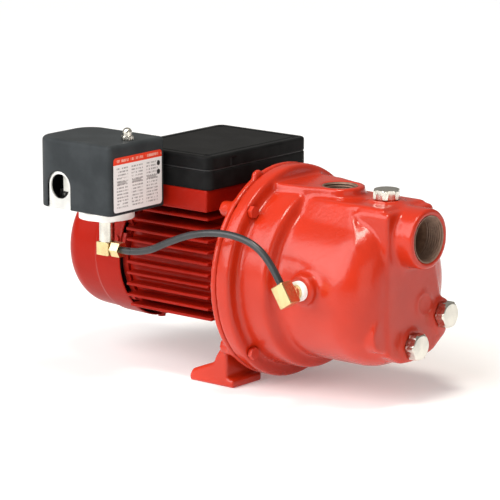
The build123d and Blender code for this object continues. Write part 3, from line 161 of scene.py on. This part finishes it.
def noise(here, scale, detail=3.0, roughness=0.5, stretch=(1, 1, 1)):
    """Cloudy values from 0 to 1; scale is in lumps per metre."""
    placed = here.vector("MULTIPLY", stretch)
    sockets = {"Vector": placed, "Scale": scale, "Detail": detail, "Roughness": roughness}
    return here.node("TexNoise", sockets)


def feed(shader, colour=None, roughness=None, coat=None, height=None, depth=0.0):
    """Link what varies over the surface; height is a bump of a depth in metres."""
    for socket, value in (("Base Color", colour), ("Roughness", roughness), ("Coat Weight", coat)):
        if isinstance(value, Wire):
            value.tree.links.new(value.socket, shader.inputs[socket])
        elif value is not None:
            shader.inputs[socket].default_value = value
    if height is not None:
        bump = height.node("Bump", {"Height": height, "Distance": depth, "Strength": 1.0})
        height.tree.links.new(bump.socket, shader.inputs["Normal"])


def moulded(name, colour, rough, grain=900.0, depth=0.00005, **fixed):
    """Plastic or rubber: a fine grain, faint clouds of tone, and small changes of gloss."""
    material, shader, here = finish(name, **fixed)
    clouds = noise(here, 45.0)
    fine = noise(here, grain, 2.0)
    pale = tuple(min(1.0, c * 1.25 + 0.004) for c in colour)
    feed(
        shader,
        colour=clouds.spread(0.35, 0.7).tint(colour, pale),
        roughness=rough + (clouds - 0.5) * 0.12 + (fine - 0.5) * 0.08,
        height=fine,
        depth=depth,
    )
    return material


def fit(piece, slot, *nodes):
    """The piece rides on the housing and stands for these CAD nodes; the slot is not used."""
    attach(piece, "housing")
    if nodes:
        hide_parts(*nodes)


MM = 0.001
port_x, port_z, elbow_y = 128.0, 107.0, -99.0
lean = math.radians(33.0)
leg_length, straight = 10.2, 21.5
leg_end = (
    port_x - leg_length * math.sin(lean),
    elbow_y,
    port_z + leg_length * math.cos(lean),
)
tube_route = [
    (-50.0, -111.3, 123.6),
    (-26.0, -111.3, 123.6),
    (6.0, -108.0, 139.5),
    (34.0, -106.0, 149.8),
    (66.0, -103.8, 153.5),
    (93.0, -101.5, 148.5),
    (
        leg_end[0] - straight * math.sin(lean),
        elbow_y,
        leg_end[2] + straight * math.cos(lean),
    ),
    leg_end,
]
tube_diameter = 6.5
tube_curve = bpy.data.curves.new("sensing_tube", "CURVE")
tube_curve.dimensions = "3D"
tube_curve.bevel_depth = tube_diameter * MM / 2
tube_curve.bevel_resolution = 8
tube_curve.resolution_u = 24
tube_curve.use_fill_caps = True
tube_line = tube_curve.splines.new("NURBS")
tube_line.points.add(len(tube_route) - 1)
for point, place in zip(tube_line.points, tube_route):
    point.co = (*(MM * x for x in place), 1.0)
tube_line.order_u = 3
tube_line.use_endpoint_u = True
tube = bpy.data.objects.new("pressure_tube", tube_curve)
scene.collection.objects.link(tube)
tube_nylon = moulded("tube_nylon", (0.016, 0.018, 0.020), 0.30, 700.0, 0.00003)
tube_curve.materials.append(tube_nylon)
fit(tube, "tube_black", "sensing_tube")
[MM * x for x in tube_route[0]]


# ================================================================ pump casing
# Grey-iron casting: flange, impeller chamber, bell, flat nose and spine in one piece. Its
# corners are soft as sand castings are, and a thick gloss enamel covers its rough skin.
def relaxed(mesh, passes, share):
    """Each point moves by a share of the way to the mean of its neighbours, passes times."""
    count = len(mesh.vertices)
    places = np.empty(count * 3, np.float32)
    ends = np.empty(len(mesh.edges) * 2, np.int32)
    mesh.vertices.foreach_get("co", places)
    mesh.edges.foreach_get("vertices", ends)
    places = places.reshape(-1, 3).astype(float)
    near, far = ends[0::2], ends[1::2]
    degree = np.maximum(np.bincount(ends, minlength=count), 1)
    for _ in range(passes):
        total = [
            np.bincount(near, column[far], count) + np.bincount(far, column[near], count)
            for column in places.T
        ]
        places += share * (np.stack(total, 1) / degree[:, None] - places)
    mesh.vertices.foreach_set("co", places.astype(np.float32).ravel())
    mesh.update()


def as_shown(piece):
    """A new mesh of the piece as its modifiers leave it; the modifiers go."""
    bpy.context.view_layer.update()
    shown = piece.evaluated_get(bpy.context.evaluated_depsgraph_get())
    mesh = bpy.data.meshes.new_from_object(shown)
    piece.modifiers.clear()
    piece.data = mesh
    return mesh


def softened(node, name, material, voxel, passes, share=0.5, keep=1.0):
    """A CAD node's shape as one even skin with soft corners, thinned to keep of its faces."""
    source = frame["nodes"][node].data.copy()
    joined = bmesh.new()
    joined.from_mesh(source)
    bmesh.ops.remove_doubles(joined, verts=joined.verts, dist=1e-6)
    joined.to_mesh(source)
    joined.free()
    source.materials.clear()
    piece = bpy.data.objects.new(name, source)
    scene.collection.objects.link(piece)
    even = piece.modifiers.new("skin", "REMESH")
    even.mode = "VOXEL"
    even.voxel_size = voxel * MM
    relaxed(as_shown(piece), passes, share)
    if keep < 1.0:
        thin = piece.modifiers.new("thin", "DECIMATE")
        thin.ratio = keep
        as_shown(piece)
    piece.data.name = name
    piece.data.polygons.foreach_set("use_smooth", [True] * len(piece.data.polygons))
    piece.data.materials.append(material)
    return piece


def enamelled(name, colour, dark, lumps, depth, rough=0.24, gleam=0.30, bare=()):
    """Gloss paint on cast metal: lumps and orange peel, lighter convex edges for thin paint and a
    painted edge highlight, and painted shade in the hollows.

    bare lists round holes (axis, centre, radius) that are left as unpainted brown iron.
    """
    material, shader, here = finish(name, Specular_IOR_Level=gleam, Coat_Roughness=0.12)
    broad = noise(here, 22.0)
    coarse = noise(here, lumps, 2.0)
    peel = noise(here, 3.1 * lumps, 2.0)
    pointed = here.node("NewGeometry", output=7)
    worn_and_lit_edges = pointed.spread(0.53, 0.62)
    shaded_hollows = 1.0 - pointed.spread(0.38, 0.49)
    paint = broad.spread(0.3, 0.75).tint(colour, tuple(0.86 * c for c in colour))
    # lighter convex edges: thin paint, and a painted edge highlight
    paint = (worn_and_lit_edges * 0.35).tint(paint, tuple(min(1.0, 1.1 * c + 0.03) for c in colour))
    # painted shade: the dark colour laid into hollows, creases and the gaps between fins
    paint = (shaded_hollows * 0.75).tint(paint, dark)
    gloss = rough + (broad - 0.5) * 0.15 + shaded_hollows * 0.15
    full_coat = 0.6 * gleam
    coat = full_coat
    for axis, centre, radius in bare:
        offset = here.vector("SUBTRACT", centre)
        along = offset.vector("DOT_PRODUCT", axis, output=1)
        flat = offset.vector("MULTIPLY", [1 - x for x in axis])
        inside = (flat.vector("LENGTH", output=1) < radius) * (along > 0.0)
        rust = noise(here, 300.0, 4.0).tint((0.10, 0.048, 0.028), (0.26, 0.15, 0.10))
        paint = inside.tint(paint, rust)
        gloss = gloss + inside * 0.35
        coat = coat - inside * full_coat
    skin_height = coarse * 0.75 + peel * 0.25
    feed(shader, colour=paint, roughness=gloss, coat=coat, height=skin_height, depth=depth)
    return material


suction_z, suction_bore = 150.2, 20.4
discharge_x, discharge_bore = 109.5, 15.2
iron_margin = 0.45
cast_red = enamelled(
    "cast_enamel",
    (0.49, 0.024, 0.006),
    # colour of the painted shade in the casing's hollows and creases
    (0.15, 0.004, 0.002),
    260.0,
    0.00030,
    bare=(
        ((1, 0, 0), (0.150, 0, MM * suction_z), MM * (suction_bore + iron_margin)),
        ((0, 0, 1), (MM * discharge_x, 0, 0.150), MM * (discharge_bore + iron_margin)),
    ),
)
casing = softened("pump_casing", "casing", cast_red, 1.5, 9, keep=0.75)
fit(casing, "cast_red", "pump_casing")


# ================================================================ port threads
# Tapping of the two pipe ports: bare iron, cut 20 mm deep into the casting.
def skin(name, grids, material, sharp=35.0):
    """One mesh over grids of points (rows, columns, place in mm); the columns join up."""
    points, faces, start = [], [], 0
    for grid in grids:
        rows, columns = grid.shape[:2]
        index = start + np.arange(rows * columns).reshape(rows, columns)
        index = np.hstack((index, index[:, :1]))
        corners = (index[:-1, :-1], index[:-1, 1:], index[1:, 1:], index[1:, :-1])
        faces.append(np.stack(corners, -1).reshape(-1, 4))
        points.append(MM * grid.reshape(-1, 3))
        start += rows * columns
    mesh = bpy.data.meshes.new(name)
    mesh.from_pydata(np.concatenate(points).tolist(), [], np.concatenate(faces).tolist())
    joined = bmesh.new()
    joined.from_mesh(mesh)
    bmesh.ops.remove_doubles(joined, verts=joined.verts, dist=1e-7)
    bmesh.ops.recalc_face_normals(joined, faces=joined.faces)
    joined.to_mesh(mesh)
    joined.free()
    mesh.polygons.foreach_set("use_smooth", [True] * len(mesh.polygons))
    mesh.set_sharp_from_angle(angle=math.radians(sharp))
    mesh.materials.append(material)
    piece = bpy.data.objects.new(name, mesh)
    scene.collection.objects.link(piece)
    return piece


def about(origin, axis, up, radius, along):
    """Points at a radius and a distance along an axis; the columns start from up and go round."""
    turn = np.arange(radius.shape[1]) * 2 * math.pi / radius.shape[1]
    axis, up = np.array(axis, float), np.array(up, float)
    ray = np.cos(turn)[:, None] * up + np.sin(turn)[:, None] * np.cross(axis, up)
    return np.array(origin, float) + radius[..., None] * ray + along[..., None] * axis


def tapping(origin, axis, up, radius, length=20.0, pitch=2.31, depth=1.1):
    """A thread's skin: radius less depth times a triangle wave of length / pitch less the turn.

    The depth grows over the first and last 1.5 mm, and rows outside the bore close the skin.
    """
    columns, rows = 96, int(length / pitch * 10)
    along = np.repeat(np.linspace(0, length, rows)[:, None], columns, 1)
    turn = np.arange(columns) / columns
    wave = 2 * np.abs((along / pitch - turn) % 1.0 - 0.5)
    ramp = np.clip(np.minimum(along, length - along) / 1.5, 0.0, 1.0)
    bore = radius - 0.1 - depth * wave * ramp
    outside = np.full((1, columns), radius + 0.6)
    start, end = np.zeros((1, columns)), np.full((1, columns), length)
    bore = np.vstack((outside, bore, outside, outside))
    along = np.vstack((start, along, end, start))
    return about(origin, axis, up, bore, along)


raw_iron, iron_shader, iron_here = finish("raw_iron", Metallic=0.35)
iron_rust = noise(iron_here, 260.0, 4.0)
feed(
    iron_shader,
    colour=iron_rust.tint((0.11, 0.055, 0.034), (0.34, 0.22, 0.16)),
    roughness=0.42 + iron_rust * 0.3,
    height=iron_rust,
    depth=0.0002,
)
threads = skin(
    "port_threads",
    [
        tapping((207.6, 0, suction_z), (-1, 0, 0), (0, 0, 1), suction_bore),
        tapping((discharge_x, 0, 185.9), (0, 0, -1), (1, 0, 0), discharge_bore),
    ],
    raw_iron,
    60.0,
)
fit(threads, "steel")


# ================================================================ plugs
# Nickel-plated hexagon plugs: priming plug on the spine, gauge and drain plugs in the nose,
# each screwed in on its own thread.
def metal(name, colour, rough, cloud=60.0, grain=1500.0, depth=0.000006, stretch=(1, 1, 1)):
    """Bare or plated metal: clouds of tarnish, a fine grain, and gloss that changes with both."""
    material, shader, here = finish(name, Metallic=1.0)
    tarnish = noise(here, cloud, 4.0)
    fine = noise(here, grain, 2.0, stretch=stretch)
    feed(
        shader,
        colour=tarnish.spread(0.35, 0.75).tint(colour, tuple(0.74 * c for c in colour)),
        roughness=rough + (tarnish - 0.5) * 0.2 + (fine - 0.5) * 0.12,
        height=fine,
        depth=depth,
    )
    return material


def hexed(origin, axis, up, flats, rows, columns=72):
    """A hexagon body from rows of (height, limit).

    The radius is flats / 2 / cos(angle to the nearest flat), but at most the row's limit.
    """
    turn = np.arange(columns) * 2 * math.pi / columns
    hexagon = flats / 2 / np.cos((turn + math.pi / 6) % (math.pi / 3) - math.pi / 6)
    height, limit = np.array(rows, float).T
    radius = np.minimum(hexagon, limit[:, None])
    return about(origin, axis, up, radius, np.repeat(height[:, None], columns, 1))


nickel = metal("nickel_plate", (0.74, 0.71, 0.64), 0.20)
plug_flats, plug_height = 22.0, 9.0
plug_rows = [
    (-5.0, 0.0),
    (-5.0, 8.1),
    (-0.6, 8.1),
    (-0.4, 10.4),
    (0.0, 10.8),
    (0.7, 12.9),
    (7.6, 12.9),
    (8.5, 11.3),
    (8.9, 10.4),
    (plug_height, 9.6),
    (plug_height, 5.0),
    (8.9, 0.0),
]
nose_seat_x = 190.4
drain_at, gauge_at = (2.0, 52.0), (45.6, 73.0)
nose_pair = skin(
    "nose_plug_pair",
    [
        hexed((nose_seat_x, *place), (1, 0, 0), (0, 0, 1), plug_flats, plug_rows)
        for place in (drain_at, gauge_at)
    ],
    nickel,
)
fit(nose_pair, "nickel", "nose_plugs")
priming_x = 161.0
priming_seat_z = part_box("priming_plug")[1][2] / MM - plug_height
primer = skin(
    "primer_plug",
    [hexed((priming_x, 0, priming_seat_z), (0, 0, 1), (0, 1, 0), plug_flats, plug_rows)],
    nickel,
)
fit(primer, "nickel", "priming_plug")


# ================================================================ motor bracket
# Cast iron lantern with the two feet, bolted behind the casing and painted with it.
bracket = softened("motor_bracket", "bracket", cast_red, 1.4, 6)
fit(bracket, "cast_red", "motor_bracket")


# ================================================================ motor frame
# Die-cast aluminium barrel with its fins and the seat of the terminal box, in a deeper red.
frame_red = enamelled(
    "frame_enamel",
    (0.32, 0.009, 0.003),
    # colour of the painted shade in the hollows, between the fins and in the cap's creases
    (0.08, 0.002, 0.001),
    420.0,
    0.00016,
    rough=0.34,
    gleam=0.08,
)
barrel = softened("motor_frame", "barrel", frame_red, 1.2, 3, 0.4, keep=0.72)
fit(barrel, "frame_red", "motor_frame")


# ================================================================ fan cover
# Pressed steel cap over the cooling fan, slipped on the rear end shield and held by screws.
cap = softened("fan_cover", "fan_cap", frame_red, 1.0, 3, 0.4, keep=0.85)
fit(cap, "frame_red", "fan_cover")


# ================================================================ terminal box
# Black moulded base and lid on the motor; the lid has a groove round its top and a small
# finger notch in its front side.
box_plastic = moulded(
    "box_plastic", (0.007, 0.007, 0.0072), 0.42, 1100.0, 0.00006, Specular_IOR_Level=0.04
)
lid = softened("terminal_box_lid", "box_lid", box_plastic, 0.8, 3, 0.4)
lid_low, lid_high = (np.array(corner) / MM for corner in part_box("terminal_box_lid"))
groove_inset, groove_half_width, groove_depth = 8.0, 1.2, 0.8
notch_y, notch_half_width, notch_depth = -36.0, 3.2, 0.9
points = np.empty(len(lid.data.vertices) * 3, np.float32)
lid.data.vertices.foreach_get("co", points)
points = points.reshape(-1, 3) / MM
middle, half = (lid_low + lid_high) / 2, (lid_high - lid_low) / 2
inset = (half - np.abs(points - middle))[:, :2].min(1)
on_top = points[:, 2] > lid_high[2] - 0.6
points[:, 2] -= on_top * groove_depth * np.exp(-((inset - groove_inset) / groove_half_width) ** 2)
notch = np.exp(-(((points[:, 1] - notch_y) / notch_half_width) ** 4))
notch = notch * (points[:, 0] > lid_high[0] - 1.0) * (points[:, 2] < lid_high[2] - 4.0)
points[:, 0] -= notch_depth * notch
lid.data.vertices.foreach_set("co", (points * MM).astype(np.float32).ravel())
lid.data.update()
fit(lid, "box_black", "terminal_box_lid")
tray = softened("terminal_box_base", "box_base", box_plastic, 0.9, 3, 0.4)
fit(tray, "box_black", "terminal_box_base")


# ================================================================ pressure switch
# Grey plastic cover over a zinc-plated bracket; an acorn nut on the range stud holds it, and
# a paper label is stuck to its front end.
switch_plastic = moulded(
    "switch_plastic", (0.030, 0.034, 0.037), 0.42, 1300.0, 0.00005, Specular_IOR_Level=0.06
)
hood = softened("switch_cover", "switch_hood", switch_plastic, 0.9, 3, 0.4)
fit(hood, "switch_grey", "switch_cover")

nut_low, nut_high = (np.array(corner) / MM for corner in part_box("cover_nut"))
nut_seat = (*(nut_low + nut_high)[:2] / 2, nut_low[2])
nut_flats, dome_radius, dome_z = 9.6, 4.3, 7.0
acorn_rows = [(0.0, 3.2), (0.0, 4.8), (0.4, 5.6), (3.7, 5.6), (4.4, 4.7)]
acorn_rows += [(4.45, dome_radius), (dome_z, dome_radius)]
acorn_rows += [
    (dome_z + dome_radius * math.sin(math.radians(a)), dome_radius * math.cos(math.radians(a)))
    for a in range(6, 91, 6)
]
acorn = skin(
    "acorn_nut",
    [hexed(nut_seat, (0, 0, 1), (1, 0, 0), nut_flats, acorn_rows, 60)],
    nickel,
)
fit(acorn, "nickel", "cover_nut")

label_low, label_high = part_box("cover_label")
paper_label, label_shader, label_here = finish("label_paper", Specular_IOR_Level=0.3)
# shares of the label's width and height, from 0 to 1
label_at = label_here.vector("SUBTRACT", label_low)
across_label = label_at.part(1) * (1.0 / (label_high[1] - label_low[1]))
up_label = label_at.part(2) * (1.0 / (label_high[2] - label_low[2]))


def between(value, low, high):
    """1 where the value lies between the two, else 0."""
    return (value > low) * (value < high)


column = (across_label * 3.25 - 0.1).fraction()
line = (up_label * 17.0).fraction()
marks = noise(label_here, 1500.0, 1.0, stretch=(1, 0.7, 0.15)) > 0.47
inked = marks * between(line, 0.30, 0.80) * between(column, 0.10, 0.86)
inked = inked * between(up_label, 0.05, 0.83) * between(across_label, 0.03, 0.93)
heads = between(up_label, 0.50, 0.56) * between(column, 0.15, 0.75) * (across_label < 0.9)
strip = up_label > 0.87
strip_marks = marks * between(up_label, 0.91, 0.96) * between(column, 0.05, 0.9)
spots = 0.0
for spot_z in (0.76, 0.60):
    aside, above = across_label - 0.93, up_label - spot_z
    spots = spots + (aside * aside + above * above * 0.5 < 0.0011)
label_clouds = noise(label_here, 80.0)
label_colour = label_clouds.tint((0.86, 0.86, 0.86), (0.78, 0.78, 0.79))
label_colour = (inked * 0.62).tint(label_colour, (0.10, 0.10, 0.11))
label_colour = (heads * 0.55).tint(label_colour, (0.20, 0.19, 0.19))
label_colour = strip.tint(label_colour, (0.78, 0.050, 0.018))
label_colour = (strip_marks * 0.6).tint(label_colour, (0.85, 0.60, 0.50))
label_colour = spots.tint(label_colour, (0.02, 0.02, 0.02))
feed(
    label_shader,
    colour=label_colour,
    roughness=0.42 + label_clouds * 0.2,
    height=label_clouds,
    depth=0.00003,
)


# ================================================================ fittings
# Brass elbows at both ends of the tube, on white thread tape; the nipple below the switch is
# plated steel.
brass = metal("brass_bar", (0.76, 0.60, 0.31), 0.26, 90.0, 1800.0, 0.00001, (1, 1, 6))
for node, name in (("casing_elbow", "casing_fitting"), ("switch_elbow", "switch_fitting")):
    fitting = softened(node, name, brass, 0.36, 4)
    fit(fitting, "brass", node)


# ================================================================ CAD nodes
# The rest keeps its CAD shape and takes a finish for what it is made of.
def layered(name, colour, dark, axis, pitch, rough, metallic):
    """Thin layers stacked along an axis, such as motor sheets or turns of wire."""
    material, shader, here = finish(name, Metallic=metallic)
    wave = here.maths("SINE", here.part(axis) * (2 * math.pi / pitch)) * 0.5 + 0.5
    stain = noise(here, 120.0, 4.0)
    feed(
        shader,
        colour=(stain * 0.5 + wave * 0.5).tint(dark, colour),
        roughness=rough + (stain - 0.5) * 0.2,
        height=wave,
        depth=0.00015,
    )
    return material


finishes = {
    "cast_red": cast_red,
    "frame_red": frame_red,
    "box_black": box_plastic,
    "switch_grey": switch_plastic,
    "label": paper_label,
    "brass": brass,
    "nickel": nickel,
    "zinc": metal("zinc_plate", (0.82, 0.82, 0.80), 0.36, 40.0, 900.0, 0.00003),
    "steel": metal("ground_steel", (0.60, 0.60, 0.61), 0.28, 70.0, 2200.0, 0.00002, (0.2, 2, 2)),
    "tube_black": tube_nylon,
    "ring_white": moulded("white_tape", (0.80, 0.80, 0.78), 0.45, 1600.0, 0.0001),
    "rubber": moulded("black_rubber", (0.020, 0.020, 0.021), 0.62, 700.0, 0.0001),
    "glass_nylon": moulded("filled_nylon", (0.045, 0.045, 0.05), 0.48, 1500.0, 0.00008),
    "ceramic": moulded("seal_ceramic", (0.80, 0.78, 0.73), 0.22, 2500.0, 0.00001),
    "carbon": moulded("seal_carbon", (0.035, 0.035, 0.038), 0.34, 2500.0, 0.00003),
    "laminations": layered(
        "motor_sheets", (0.36, 0.37, 0.39), (0.12, 0.11, 0.11), 0, 0.001, 0.42, 0.8
    ),
    "copper": layered(
        "enamelled_wire", (0.74, 0.27, 0.10), (0.30, 0.08, 0.03), 1, 0.0018, 0.30, 0.7
    ),
    "white_plastic": moulded("white_moulding", (0.76, 0.75, 0.70), 0.40, 1200.0, 0.00005),
}
for entry in frame["record"]["subparts"]:
    node = frame["nodes"][entry["node"]]
    node.data.materials.clear()
    node.data.materials.append(finishes[entry["material_slot"]])
# the lid's screws are blackened
frame["nodes"]["lid_screws"].data.materials[0] = box_plastic


# ================================================================ studio
# White paper floor under a grey sky. One broad light comes from the left and above, and three
# square lamps add the gleam on the casing's dome and soft sheen on the near sides.
floor_mesh = bpy.data.meshes.new("floor")
floor_mesh.from_pydata([(-9, -9, 0), (9, -9, 0), (9, 9, 0), (-9, 9, 0)], [], [(0, 1, 2, 3)])
floor = bpy.data.objects.new("floor", floor_mesh)
scene.collection.objects.link(floor)
paper, paper_shader, paper_here = finish("floor_paper", Roughness=0.6, Emission_Strength=0.19)
paper_shader.inputs["Emission Color"].default_value = (1.0, 1.0, 1.0, 1.0)
feed(paper_shader, colour=noise(paper_here, 3.0).tint((0.90, 0.90, 0.90), (0.92, 0.92, 0.92)))
floor_mesh.materials.append(paper)

world = bpy.data.worlds.new("studio")
scene.world = world
world.use_nodes = True
sky = Wire(world.node_tree).node("TexCoord", output=0)
sky_colour = sky.part(2).spread(0.05, 0.85).tint((0.28, 0.27, 0.25), (0.36, 0.35, 0.33))
world.node_tree.links.new(sky_colour.socket, world.node_tree.nodes["Background"].inputs[0])
world.node_tree.nodes["Background"].inputs[1].default_value = 1.0


def soft_box(name, place, size, power):
    """A square lamp that faces the pump."""
    lamp = bpy.data.lights.new(name, "AREA")
    lamp.size = size
    lamp.energy = power
    lamp.color = (1.0, 0.95, 0.86)
    holder = bpy.data.objects.new(name, lamp)
    holder.location = place
    towards_lamp = Vector(place) - Vector((0.03, 0, 0.1))
    holder.rotation_euler = towards_lamp.to_track_quat("Z", "Y").to_euler()
    scene.collection.objects.link(holder)


soft_box("top", (0.27, -0.25, 1.42), 0.34, 10.0)
soft_box("front", (1.5, -0.5, 0.35), 0.90, 3.0)
soft_box("side", (-1.0, -1.6, 0.55), 1.1, 2.0)
even = bpy.data.lights.new("even", "SUN")
even.energy = 3.4
even.angle = math.radians(60)
even_holder = bpy.data.objects.new("even", even)
even_holder.rotation_euler = Vector((-0.25, -0.78, 0.58)).to_track_quat("Z", "Y").to_euler()
scene.collection.objects.link(even_holder)

bpy.context.view_layer.update()
